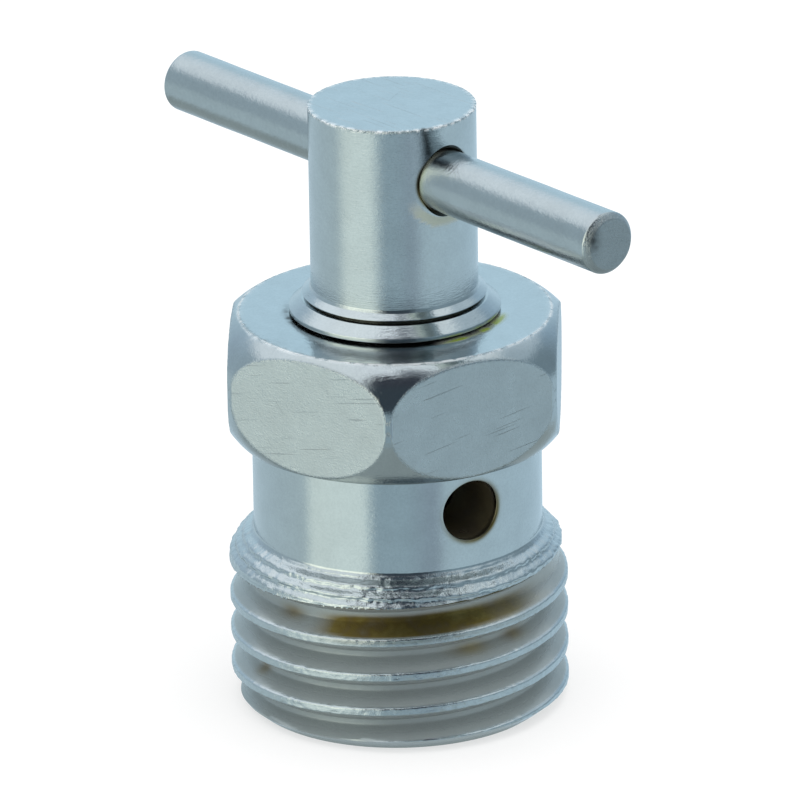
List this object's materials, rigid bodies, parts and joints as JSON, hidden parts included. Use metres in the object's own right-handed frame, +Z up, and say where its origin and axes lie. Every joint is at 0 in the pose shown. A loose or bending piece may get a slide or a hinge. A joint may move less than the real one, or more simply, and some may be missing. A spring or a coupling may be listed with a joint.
{
  "type": "manual air vent valve",
  "caption": "Small screw-down air vent: hexagon body with a connection thread and a side vent hole, opened by turning a knob with a cross bar.",
  "frame": {"origin": "centre of the threaded end face", "axes": "+Z up the valve axis towards the knob, +X out of the vent hole"},
  "size_m": [0.0268, 0.0152, 0.0255],
  "materials": {
    "nickel_body": "bright nickel plate on brass",
    "nickel_spindle": "bright nickel plate over turning marks",
    "nickel_bar": "nickel plated steel pin",
    "seal_rubber": "matt",
    "raw_brass": "turned",
    "pad_rubber": "matt"
  },
  "bodies": {
    "valve_body": {"valve_body": "nickel_body"},
    "jumper": {"seat_jumper": "raw_brass", "seat_pad": "pad_rubber"},
    "spindle": {"spindle": "nickel_spindle", "tommy_bar": "nickel_bar", "stem_o_ring": "seal_rubber"}
  },
  "joints": [
    {"name": "spindle_lift", "type": "slide", "parent": "valve_body", "child": "jumper", "axis": [0, 0, 1], "range_m": [0, 0.001]},
    {"name": "spindle_turn", "type": "hinge", "parent": "jumper", "child": "spindle", "pos_m": [0, 0, 0.0231], "axis": [0, 0, 1], "range_deg": [0, 360]}
  ],
  "couplings": [
    {"joint": "spindle_turn", "follows": "spindle_lift", "rad_per_m": 6283.2}
  ]
}
